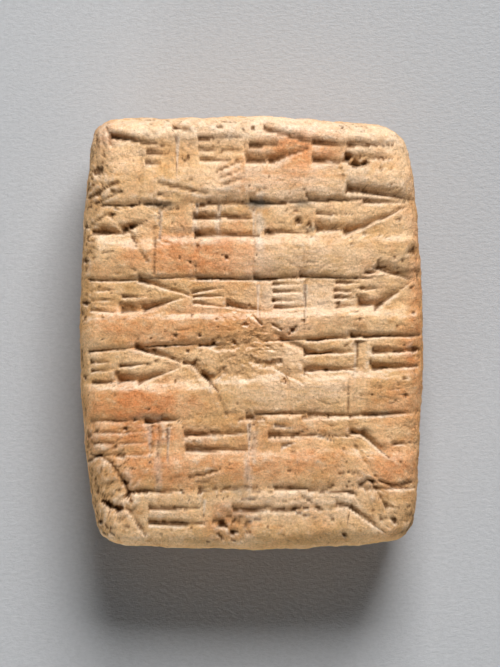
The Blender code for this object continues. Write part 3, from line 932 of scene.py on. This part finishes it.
def make_tablet():
    points, faces = plain_tablet()
    mesh = mesh_from("tablet_clay", points, faces)
    normals = point_normals(mesh)
    on_front = points[:, 2] > EDGE_HEIGHT
    depth, broken = np.zeros(len(points)), np.zeros(len(points))
    depth[on_front], broken[on_front] = front_relief(points[on_front])
    fade = smoothstep(*SOUND_FADE, points[:, 2])
    depth *= mix(fade, smoothstep(*BROKEN_FADE, points[:, 2]), broken)
    pressed = depth.copy()
    side_relief = (1.0 - fade) * (rough(points, SIDE_WAVES) + rough(points, SIDE_GRIT))
    pits = smoothstep(*SIDE_PIT_RANGE, rough(points, SIDE_PITS))
    side_relief += (1.0 - fade) * SIDE_PIT_DEPTH * pits
    depth += hand_relief(points) + side_relief
    moved = points - normals * (depth - pressed)[:, None]
    moved[:, 2] -= pressed
    low, high = CAD_BOX
    moved = np.clip(moved, np.array(low) / MM, np.array(high) / MM)
    mesh.vertices.foreach_set("co", (moved * MM).ravel())
    mesh.update()
    mesh.shade_smooth()
    edges = mesh_edges(mesh)
    hollow = depth - blurred(depth, edges, HOLLOW_PASSES)
    crease = depth - blurred(depth, edges, CREASE_PASSES)
    facing = point_normals(mesh)[:, 1] - normals[:, 1]
    paint(mesh, points, normals, hollow, crease, facing, broken)
    return add_object("tablet_clay", mesh)


# Painted places: half size and strength. Orange clay, pale clay with painted highlights on the
# swellings and the top edge, grey dust with painted shade in creases, and pale dust in uprights
Tint = namedtuple("Tint", "across down size strength")
WARM = table(
    Tint,
    (0.64, 0.078, (3.6, 2.6), 0.8),
    (0.37, 0.318, (6.0, 2.3), 0.75),
    (0.205, 0.49, (6.2, 1.8), 0.5),
    (0.175, 0.665, (4.8, 2.0), 0.85),
    (0.18, 0.735, (5.0, 1.6), 0.7),
    (0.26, 0.8, (6.0, 1.8), 0.6),
    (0.93, 0.8, (2.4, 2.2), 0.7),
    (0.93, 0.66, (2.4, 2.0), 0.5),
    (0.965, 0.55, (1.2, 2.0), 0.8),
    (0.985, 0.45, (0.9, 15.0), 0.6),
    (0.44, 0.935, (1.9, 1.4), 0.8),
    (0.46, 0.475, (5.6, 1.7), 0.55),
    (0.48, 0.8, (13.0, 1.8), 0.5),
    (0.6, 0.73, (5.0, 2.0), 0.3),
    (0.52, 0.14, (3.0, 1.5), 0.45),
    (0.075, 0.045, (1.0, 1.4), 0.6),
)
# Pale clay, and painted highlights on the tops of the swellings and along the top edge
PALE_AND_HIGHLIGHT = table(
    Tint,
    (0.66, 0.43, (5.0, 2.2), 1.0),
    (0.69, 0.61, (3.4, 1.6), 0.8),
    (0.13, 0.095, (3.0, 1.6), 0.5),
    (0.6, 0.165, (9.0, 1.8), 0.8),
    (0.62, 0.33, (5.5, 1.7), 0.8),
    (0.6, 0.605, (4.0, 2.6), 0.8),
    (0.91, 0.14, (2.6, 2.2), 0.4),
    (0.345, 0.45, (2.0, 0.9), 0.5),
    (0.37, 0.135, (2.6, 0.7), 0.5),
    (0.47, 0.565, (2.4, 2.0), 0.5),
    (0.93, 0.27, (1.8, 1.8), 0.4),
    (0.42, 0.05, (4.0, 1.2), 0.7),
    (0.6, 0.025, (9.0, 0.8), 0.6),
    (0.68, 0.885, (6.0, 1.3), 0.7),
    (0.8, 0.34, (5.0, 1.8), 0.5),
    (0.85, 0.165, (5.0, 1.7), 0.65),
    (0.83, 0.085, (3.0, 1.5), 0.5),
    (0.62, 0.9, (9.0, 1.3), 0.5),
)
# Grey dust and painted shade in the creases of ruled lines and strokes
GREY_DUST_AND_SHADE = table(
    Tint,
    (0.205, 0.69, (1.6, 0.35), 0.5),
    (0.345, 0.372, (1.2, 0.3), 0.5),
    (0.745, 0.372, (1.2, 0.3), 0.2),
    (0.875, 0.684, (1.0, 0.3), 0.5),
    (0.47, 0.862, (1.0, 0.35), 0.4),
    (0.2, 0.374, (1.0, 0.25), 0.35),
    (0.523, 0.205, (1.0, 0.45), 1.0),
    (0.655, 0.205, (0.9, 0.3), 0.7),
    (0.24, 0.208, (1.4, 0.4), 0.5),
    (0.505, 0.372, (1.3, 0.3), 0.5),
    (0.665, 0.262, (1.0, 0.25), 0.6),
    (0.31, 0.265, (1.5, 0.3), 0.4),
)
CHALK = table(
    Tint,
    (0.523, 0.262, (0.45, 2.4), 1.0),
    (0.34, 0.255, (0.25, 1.3), 0.7),
    (0.405, 0.25, (0.25, 1.5), 0.7),
    (0.507, 0.745, (0.35, 1.7), 0.7),
    (0.49, 0.83, (0.35, 1.7), 0.7),
    (0.233, 0.81, (0.3, 3.2), 0.6),
)


# How soft the painted places' edges are, and how ragged
WARM_SOFTNESS = 0.8
PALE_SOFTNESS = 0.7
GREY_SOFTNESS = 0.6
CHALK_SOFTNESS = 0.7
TINT_EDGE = Texture(0.5, 2.6, 4, 91)
DUST_EDGE = Texture(0.5, 0.8, 3, 95)
CHALK_RAGGED = 1.6
# Ranges over which a field rises from 0 to 1, and its share there. Faces turned up the tablet,
# toward the main light, and raised places get a painted highlight, and faces turned down get
# painted shade
LIT_FACES = (0.2, 0.62)
DIM_FACES = (0.15, 0.62)
RAISED_RANGE = (0.04, 0.16)
RAISED_SHARE = 0.7
# A painted highlight along the top rim, where it faces the main light
TOP_RIM = (0.1, 0.5)
TOP_RIM_HEIGHTS = (8.0, 12.0)
TOP_RIM_SHARE = 0.9
TOP_RIM_RAGGED = 0.1
# The sides and the left margin are olive, and the sides have less dirt and painted shade
OLIVE_REACH = (0.55, 0.95)
OLIVE_RAGGED = 0.12
OLIVE_MARGIN = (0.0, 0.045)
OLIVE_MARGIN_SHARE = 0.7
OLIVE_MARGIN_RAGGED = 0.03
SIDE_REACH = (0.5, 0.8)
SIDE_DIRT_AND_SHADE = 0.3
# Dirt and painted shade lie in hollows and in creases, which differ in how far their surroundings reach
HOLLOW_PASSES = 16
HOLLOW_RANGE = (0.04, 0.25)
HOLLOW_SHARE = 0.6
CREASE_PASSES = 3
CREASE_RANGE = (0.017, 0.08)


def tinted(points, ragged, tints, softness):
    """The strongest of the painted places at each point."""
    total = np.zeros(len(points))
    for tint in tints:
        share = tint.strength * patch(points, ragged, tint.across, tint.down, tint.size, softness)
        total = np.maximum(total, share)
    return total


def paint(mesh, points, normals, hollow, crease, facing, broken):
    """Keep on each vertex how much of every colour, dust and dirt it has, and its painted highlight and
    painted shade.
    """
    ragged = rough(points, TINT_EDGE)
    fine = rough(points, DUST_EDGE)
    # Painted highlight on raised places, on faces turned to the main light and on the top rim
    raised = RAISED_SHARE * smoothstep(*RAISED_RANGE, -hollow)
    painted_highlight = np.maximum(smoothstep(*LIT_FACES, facing), raised)
    rim = TOP_RIM_SHARE * smoothstep(*TOP_RIM, normals[:, 1] + TOP_RIM_RAGGED * ragged)
    rim *= smoothstep(*TOP_RIM_HEIGHTS, points[:, 2])
    reach = points[:, 2] / THICKNESS
    sides = 1.0 - smoothstep(*OLIVE_REACH, reach + OLIVE_RAGGED * ragged)
    margin = 1.0 - smoothstep(*OLIVE_MARGIN, across_of(points) + OLIVE_MARGIN_RAGGED * ragged)
    # Dirt and painted shade in hollows and creases
    in_hollows = HOLLOW_SHARE * smoothstep(*HOLLOW_RANGE, hollow)
    dirt_and_shade = np.maximum(in_hollows, smoothstep(*CREASE_RANGE, crease))
    dust = tinted(points, CHALK_RAGGED * fine, CHALK, CHALK_SOFTNESS)
    fields = {
        "warm": tinted(points, ragged, WARM, WARM_SOFTNESS),
        "pale_and_highlight": tinted(points, ragged, PALE_AND_HIGHLIGHT, PALE_SOFTNESS),
        "painted_highlight": np.maximum(painted_highlight, rim),
        "shade": smoothstep(*DIM_FACES, -facing),
        "grey_dust_and_shade": tinted(points, fine, GREY_DUST_AND_SHADE, GREY_SOFTNESS),
        "chalk": np.maximum(dust, residue_in_lines(points)),
        "olive": np.maximum(sides, OLIVE_MARGIN_SHARE * margin),
        "dirt_and_shade": mix(SIDE_DIRT_AND_SHADE, 1.0, smoothstep(*SIDE_REACH, reach)) * dirt_and_shade,
        "broken": broken,
    }
    for name, values in fields.items():
        attribute = mesh.attributes.new(name, "FLOAT", "POINT")
        attribute.data.foreach_set("value", values.astype(np.float32))


def principled(name):
    material = bpy.data.materials.new(name)
    material.use_nodes = True
    return material, material.node_tree, material.node_tree.nodes["Principled BSDF"]


class Nodes:
    """A material's nodes, made one after the other."""

    def __init__(self, tree):
        self.tree = tree
        self.place = self.new("ShaderNodeTexCoord").outputs["Object"]

    def new(self, kind, **settings):
        node = self.tree.nodes.new(kind)
        for name, value in settings.items():
            setattr(node, name, value)
        return node

    def feed(self, node, name, value):
        if isinstance(value, bpy.types.NodeSocket):
            self.tree.links.new(value, node.inputs[name])
        else:
            node.inputs[name].default_value = value

    def scaled(self, stretch):
        """The place on the object in millimetres, divided by a stretch."""
        node = self.new("ShaderNodeVectorMath", operation="MULTIPLY")
        self.feed(node, 0, self.place)
        self.feed(node, 1, tuple(1.0 / (MM * s) for s in stretch))
        return node.outputs[0]

    def noise(self, mottle):
        node = self.new("ShaderNodeTexNoise")
        self.feed(node, "Vector", self.scaled(mottle.stretch))
        self.feed(node, "Scale", 1.0 / mottle.cell)
        self.feed(node, "Detail", mottle.detail)
        self.feed(node, "Roughness", mottle.roughness)
        return node.outputs["Fac"]

    def attribute(self, name):
        return self.new("ShaderNodeAttribute", attribute_name=name).outputs["Fac"]

    def math(self, operation, a, b):
        node = self.new("ShaderNodeMath", operation=operation)
        self.feed(node, 0, a)
        self.feed(node, 1, b)
        return node.outputs[0]

    def ramp(self, value, low, high, start=0.0, end=1.0):
        node = self.new("ShaderNodeMapRange", interpolation_type="SMOOTHSTEP")
        names = ("Value", "From Min", "From Max", "To Min", "To Max")
        for name, number in zip(names, (value, low, high, start, end)):
            self.feed(node, name, number)
        return node.outputs[0]

    def mix(self, share, a, b):
        node = self.new("ShaderNodeMix", data_type="RGBA")
        for index, value in ((0, share), (6, a), (7, b)):
            self.feed(node, index, value)
        return node.outputs[2]

    def bump(self, height, distance, under=None):
        node = self.new("ShaderNodeBump")
        self.feed(node, "Height", height)
        self.feed(node, "Distance", distance * MM)
        self.feed(node, "Strength", 1.0)
        if under is not None:
            self.feed(node, "Normal", under)
        return node.outputs["Normal"]


def colour(red, green, blue):
    """A linear colour from its screen values of 0 to 255."""
    values = (value / 255 for value in (red, green, blue))
    return (*(v / 12.92 if v < 0.04045 else ((v + 0.055) / 1.055) ** 2.4 for v in values), 1.0)


# Noise in the clay's colour and finest relief: the size of its features, how many times finer
# noise is added, how strong the finer noise is, and its stretch along x, y and z
Mottle = namedtuple("Mottle", "cell detail roughness stretch", defaults=(0.55, (1.0, 1.0, 1.0)))
MOTTLES = {
    "broad": Mottle(5.0, 4.0),
    "middle": Mottle(1.3, 4.0),
    "fine": Mottle(0.2, 3.0, 0.8),
    "mottles": Mottle(0.7, 5.0, 0.65, (1.6, 1.0, 1.0)),
    "streaks": Mottle(0.5, 3.0, 0.55, (5.0, 1.0, 1.0)),
    "clouds": Mottle(2.6, 3.0),
    "specks": Mottle(0.35, 2.0),
    "grain": Mottle(0.18, 4.0, 0.75),
    "flakes": Mottle(0.7, 6.0, 0.7),
    "chips": Mottle(0.9, 5.0, 0.7, (1.5, 1.0, 1.0)),
}
# Screen colours of the plain clay, and the range of the broad noise between them
DARK_BUFF = (223, 174, 117)
LIGHT_BUFF = (246, 200, 149)
BUFF_RANGE = (0.35, 0.65)
# Colours laid over it in order: the painted field that holds each, the noise that breaks it up,
# the range of that noise, and the share of the colour at both its ends, or everywhere
Layer = namedtuple("Layer", "tint field noise edges shares")
LAYERS = (
    Layer((245, 205, 160), None, "middle", (0.45, 0.75), (0.0, 0.6)),
    Layer((222, 160, 102), None, "clouds", (0.50, 0.68), (0.0, 0.55)),
    Layer((207, 148, 88), None, "mottles", (0.52, 0.70), (0.0, 0.75)),
    Layer((247, 212, 171), None, "mottles", (0.28, 0.44), (0.6, 0.0)),
    Layer((221, 135, 78), "warm", "mottles", (0.25, 0.60), (0.35, 1.0)),
    Layer((234, 175, 104), "olive", "clouds", (0.35, 0.62), (0.15, 0.85)),
    # Pale clay and painted highlights
    Layer((250, 215, 180), "pale_and_highlight", "streaks", (0.30, 0.65), (0.25, 0.8)),
    Layer((204, 153, 96), "broken", None, None, 0.5),
    # Painted highlight on faces turned to the main light, on raised places and on the top rim
    Layer((250, 228, 202), "painted_highlight", "mottles", (0.30, 0.60), (0.8, 0.35)),
    # Painted shade on faces turned away from the main light
    Layer((170, 122, 74), "shade", None, None, 0.45),
    Layer((232, 222, 206), "chalk", None, None, 0.42),
    # Dirt and painted shade in hollows and creases
    Layer((112, 76, 44), "dirt_and_shade", "middle", (0.30, 0.60), (0.5, 0.95)),
    # Grey dust and painted shade in creases
    Layer((112, 103, 88), "grey_dust_and_shade", None, None, 0.8),
    Layer((140, 96, 56), None, "specks", (0.66, 0.74), (0.0, 0.5)),
)
# The finest light and dark grain, and how dull the clay is
GRAIN_RANGE = (0.35, 0.65)
GRAIN_BRIGHTNESS = (0.87, 1.18)
DULL_RANGE = (0.3, 0.7)
DULLNESS = (0.78, 0.95)
GLOSS = 0.25
# The finest relief: heights of the grain, flakes, chips and level folds, and the ranges of noise
# in which flakes and chips end
GRAIN_HEIGHT = 0.08
FLAKE_RANGE = (0.36, 0.64)
FLAKE_HEIGHT = 0.06
CHIP_RANGE = (0.55, 0.59)
CHIP_HEIGHT = 0.03
STREAK_HEIGHT = 0.04


def clay_material():
    material, tree, shader = principled("clay")
    nodes = Nodes(tree)
    noises = {name: nodes.noise(mottle) for name, mottle in MOTTLES.items()}
    buff_share = nodes.ramp(noises["broad"], *BUFF_RANGE)
    tone = nodes.mix(buff_share, colour(*DARK_BUFF), colour(*LIGHT_BUFF))
    for layer in LAYERS:
        share = layer.shares
        if layer.noise:
            share = nodes.ramp(noises[layer.noise], *layer.edges, *layer.shares)
        if layer.field:
            share = nodes.math("MULTIPLY", nodes.attribute(layer.field), share)
        tone = nodes.mix(share, tone, colour(*layer.tint))
    grained = nodes.new("ShaderNodeVectorMath", operation="SCALE")
    nodes.feed(grained, 0, tone)
    nodes.feed(grained, "Scale", nodes.ramp(noises["fine"], *GRAIN_RANGE, *GRAIN_BRIGHTNESS))
    nodes.feed(shader, "Base Color", grained.outputs[0])
    nodes.feed(shader, "Roughness", nodes.ramp(noises["middle"], *DULL_RANGE, *DULLNESS))
    nodes.feed(shader, "Specular IOR Level", GLOSS)
    relief = nodes.bump(noises["grain"], GRAIN_HEIGHT)
    relief = nodes.bump(nodes.ramp(noises["flakes"], *FLAKE_RANGE), FLAKE_HEIGHT, relief)
    relief = nodes.bump(nodes.ramp(noises["chips"], *CHIP_RANGE), CHIP_HEIGHT, relief)
    nodes.feed(shader, "Normal", nodes.bump(noises["streaks"], STREAK_HEIGHT, relief))
    return material


# The floor is grey paper with fine fibres
FLOOR_HALF = 1.5
FIBRES = Mottle(0.32, 5.0, 0.75, (1.8, 1.0, 1.0))
FIBRE_RANGE = (0.3, 0.7)
FIBRE_HEIGHT = 0.08
DARK_PAPER = (0.445, 0.448, 0.458, 1.0)
LIGHT_PAPER = (0.50, 0.503, 0.513, 1.0)
PAPER_DULLNESS = 0.9


def make_floor():
    half = FLOOR_HALF
    corners = [(-half, -half, 0), (half, -half, 0), (half, half, 0), (-half, half, 0)]
    mesh = bpy.data.meshes.new("floor")
    mesh.from_pydata(corners, [], [(0, 1, 2, 3)])
    floor = add_object("floor", mesh)
    material, tree, shader = principled("floor_paper")
    nodes = Nodes(tree)
    fibres = nodes.noise(FIBRES)
    tone = nodes.mix(nodes.ramp(fibres, *FIBRE_RANGE), DARK_PAPER, LIGHT_PAPER)
    nodes.feed(shader, "Base Color", tone)
    nodes.feed(shader, "Roughness", PAPER_DULLNESS)
    nodes.feed(shader, "Normal", nodes.bump(fibres, FIBRE_HEIGHT))
    floor.data.materials.append(material)


# The camera looks straight down from far off, and is set off the centre by a hair, in metres
CAMERA_RISE = 0.54
CAMERA_OFFSET = (-0.0001, -0.00005)
CAMERA_LENS = 300.0
CAMERA_SENSOR = 36.0


def make_camera():
    data = bpy.data.cameras.new("camera")
    data.lens = CAMERA_LENS
    data.sensor_width = CAMERA_SENSOR
    data.sensor_fit = "AUTO"
    camera = add_object("camera", data)
    camera.location = (*CAMERA_OFFSET, CAMERA_RISE + EDGE_HEIGHT * MM)
    bpy.context.scene.camera = camera


# Soft lights: distance and size in metres, power and tint. The main one stands above the top edge,
# a weak low one lights the bottom edge, and a faint blue sky fills the shadow
Light = namedtuple("Light", "distance size power tint")
KEY_AZIMUTH = 78
KEY_ELEVATION = 41
KEY_LIGHT = Light(0.9, 0.46, 12.0, (1.0, 1.0, 1.0))
LOW_DIRECTION = (-0.45, -1.0, 0.14)
LOW_LIGHT = Light(0.8, 0.3, 4.2, (0.88, 0.94, 0.98))
SKY_TINT = (0.80, 0.92, 1.0, 1.0)
SKY_STRENGTH = 0.068


def area_light(name, direction, settings):
    data = bpy.data.lights.new(name, "AREA")
    data.shape = "SQUARE"
    data.size = settings.size
    data.energy = settings.power
    data.color = settings.tint
    light = add_object(name, data)
    toward = Vector(direction).normalized()
    light.location = toward * settings.distance
    light.rotation_euler = toward.to_track_quat("Z", "Y").to_euler()


def make_lights():
    azimuth, elevation = math.radians(KEY_AZIMUTH), math.radians(KEY_ELEVATION)
    flat = math.cos(elevation)
    toward_key = (flat * math.cos(azimuth), flat * math.sin(azimuth), math.sin(elevation))
    area_light("key", toward_key, KEY_LIGHT)
    area_light("low", LOW_DIRECTION, LOW_LIGHT)
    world = bpy.data.worlds.new("studio")
    world.use_nodes = True
    background = world.node_tree.nodes["Background"]
    background.inputs["Color"].default_value = SKY_TINT
    background.inputs["Strength"].default_value = SKY_STRENGTH
    bpy.context.scene.world = world


bpy.context.scene.view_settings.view_transform = "Standard"
tablet = make_tablet()
tablet.data.materials.append(clay_material())
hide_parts("tablet")
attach(tablet, "root")
make_floor()
make_camera()
make_lights()
